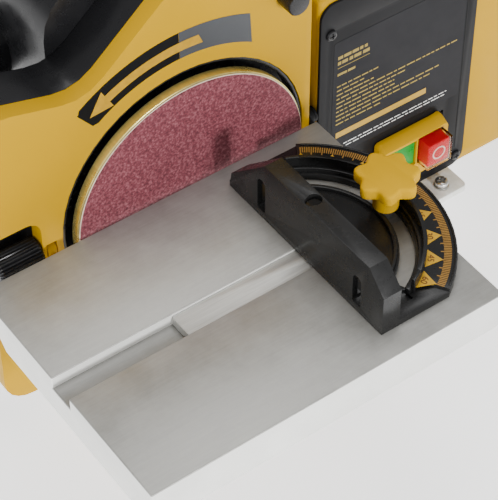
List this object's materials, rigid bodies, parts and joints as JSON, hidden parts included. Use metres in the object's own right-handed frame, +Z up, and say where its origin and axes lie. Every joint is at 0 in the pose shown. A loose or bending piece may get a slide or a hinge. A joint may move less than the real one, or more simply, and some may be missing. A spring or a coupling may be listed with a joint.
{
  "type": "combination belt and disc bench sander",
  "caption": "Bench sander with a vertical abrasive disc, a tilting work table with a sliding mitre gauge, and a belt on a tilting arm above its motor box.",
  "frame": {"origin": "middle of the footprint, on the surface the sander stands on", "axes": "+X along the mitre slot and the belt, towards the idler end; +Y from the operator back through the disc; +Z up"},
  "size_m": [0.5668, 0.3766, 0.3035],
  "materials": {
    "yellow_paint": "gloss enamel with light orange peel",
    "black_paint": "satin",
    "black_plastic": "fine moulded grain",
    "mitre_black": "gloss moulding",
    "yellow_plastic": "gloss",
    "table_aluminium": "ground top, cast sides",
    "aluminium": "machined",
    "zinc_steel": "bright zinc plate",
    "bright_steel": "polished",
    "steel": "machined",
    "zinc_gold": "yellow zinc passivate on steel",
    "disc_paper": "abrasive grit on paper",
    "belt_cloth": "abrasive grit on cloth",
    "black_rubber": "matt",
    "copper": "lacquered windings",
    "red_plastic": "gloss",
    "green_plastic": "gloss"
  },
  "bodies": {
    "base": {"base_plate": "zinc_steel", "ear_screw": "zinc_steel", "foot_1": "black_rubber", "foot_2": "black_rubber", "foot_3": "black_rubber", "foot_4": "black_rubber", "disc_housing": "yellow_paint", "housing_back": "black_plastic", "disc_liner": "black_plastic", "dust_hood": "black_plastic", "motor_box": "yellow_paint", "cable_gland": "black_plastic", "cover_plate": "black_paint", "cover_screw_1": "bright_steel", "cover_screw_2": "bright_steel", "cover_screw_3": "bright_steel", "cover_screw_4": "bright_steel", "switch_body": "black_plastic", "switch_frame": "yellow_plastic", "motor_can": "black_paint", "motor_stator": "copper", "motor_shield": "aluminium", "spindle_bracket": "black_paint", "spindle_bearing_front": "steel", "spindle_bearing_rear": "steel", "drive_belt": "black_rubber", "timing_belt": "black_rubber", "drive_cover": "black_plastic", "table_pin_right": "black_paint"},
    "disc_spindle": {"spindle_shaft": "steel", "disc_plate": "zinc_gold", "abrasive_disc": "disc_paper", "spindle_timing_pulley": "steel", "spindle_pulley": "steel"},
    "motor_shaft": {"motor_rotor": "steel", "motor_fan": "black_plastic", "motor_pulley": "steel"},
    "drum": {"drive_drum": "black_rubber", "drum_timing_pulley": "steel"},
    "arm": {"arm_side_plate": "black_paint", "arm_beam": "black_paint", "platen": "steel", "sanding_belt": "belt_cloth", "belt_guard": "yellow_paint", "work_stop": "zinc_steel"},
    "carriage": {"idler_carriage": "zinc_steel"},
    "idler": {"idler_drum": "aluminium"},
    "tension": {"tension_lever": "black_plastic"},
    "tracking": {"tracking_knob": "black_plastic"},
    "arm_lock": {"arm_lock_lever": "black_plastic"},
    "table": {"table_plate": "table_aluminium", "table_lug_left": "yellow_paint", "table_lug_right": "black_paint"},
    "table_lock": {"table_lock_knob": "black_plastic"},
    "mitre_slider": {"mitre_bar": "bright_steel"},
    "mitre_swivel_head": {"mitre_head": "mitre_black", "mitre_pivot_screw": "bright_steel"},
    "mitre_clamp": {"mitre_knob": "yellow_plastic"},
    "start": {"start_button": "green_plastic"},
    "stop": {"stop_button": "red_plastic"}
  },
  "joints": [
    {"name": "spindle_spin", "type": "hinge", "parent": "base", "child": "disc_spindle", "pos_m": [-0.14292, -0.0237, 0.14375], "axis": [0, 1, 0], "continuous": true},
    {"name": "motor_spin", "type": "hinge", "parent": "base", "child": "motor_shaft", "pos_m": [0.02908, -0.0237, 0.1275], "axis": [0, 1, 0], "continuous": true},
    {"name": "drum_spin", "type": "hinge", "parent": "base", "child": "drum", "pos_m": [-0.11793, -0.0237, 0.2575], "axis": [0, 1, 0], "continuous": true},
    {"name": "arm_tilt", "type": "hinge", "parent": "base", "child": "arm", "pos_m": [-0.11793, 0.0223, 0.2575], "axis": [0, -1, 0], "range_deg": [0, 90]},
    {"name": "tension_slide", "type": "slide", "parent": "arm", "child": "carriage", "axis": [1, 0, 0], "range_m": [-0.008, 0]},
    {"name": "idler_spin", "type": "hinge", "parent": "carriage", "child": "idler", "pos_m": [0.25143, 0.0303, 0.2575], "axis": [0, 1, 0], "continuous": true},
    {"name": "tension_lever_turn", "type": "hinge", "parent": "arm", "child": "tension", "pos_m": [0.19143, 0.0223, 0.2575], "axis": [0, 1, 0], "range_deg": [-70, 0]},
    {"name": "tracking_turn", "type": "hinge", "parent": "carriage", "child": "tracking", "pos_m": [0.25143, 0.0133, 0.2575], "axis": [1, 0, 0], "range_deg": [-180, 180]},
    {"name": "arm_lock_turn", "type": "hinge", "parent": "base", "child": "arm_lock", "pos_m": [-0.07393, -0.0237, 0.2455], "axis": [0, 1, 0], "range_deg": [0, 90]},
    {"name": "table_tilt", "type": "hinge", "parent": "base", "child": "table", "pos_m": [-0.14292, -0.0095, 0.1403], "axis": [1, 0, 0], "range_deg": [0, 45]},
    {"name": "table_lock_turn", "type": "hinge", "parent": "base", "child": "table_lock", "pos_m": [-0.23792, -0.0095, 0.1403], "axis": [1, 0, 0], "range_deg": [0, 180]},
    {"name": "mitre_slide", "type": "slide", "parent": "table", "child": "mitre_slider", "axis": [1, 0, 0], "range_m": [-0.13, 0.06]},
    {"name": "mitre_swivel", "type": "hinge", "parent": "mitre_slider", "child": "mitre_swivel_head", "pos_m": [-0.12492, -0.1052, 0.1495], "axis": [0, 0, 1], "range_deg": [-60, 60]},
    {"name": "mitre_lock_turn", "type": "hinge", "parent": "mitre_slider", "child": "mitre_clamp", "pos_m": [-0.07193, -0.1052, 0.1495], "axis": [0, 0, 1], "range_deg": [0, 360]},
    {"name": "start_press", "type": "slide", "parent": "base", "child": "start", "axis": [0, 1, 0], "range_m": [0, 0.003], "stiffness_N_per_m": 400, "springref_m": -0.0005},
    {"name": "stop_press", "type": "slide", "parent": "base", "child": "stop", "axis": [0, 1, 0], "range_m": [0, 0.003], "stiffness_N_per_m": 400, "springref_m": -0.0005}
  ],
  "couplings": [
    {"joint": "motor_spin", "follows": "spindle_spin", "ratio": 1.2},
    {"joint": "drum_spin", "follows": "spindle_spin", "ratio": 0.56},
    {"joint": "idler_spin", "follows": "spindle_spin", "ratio": 0.56},
    {"joint": "tension_lever_turn", "follows": "tension_slide", "rad_per_m": 152.71}
  ]
}
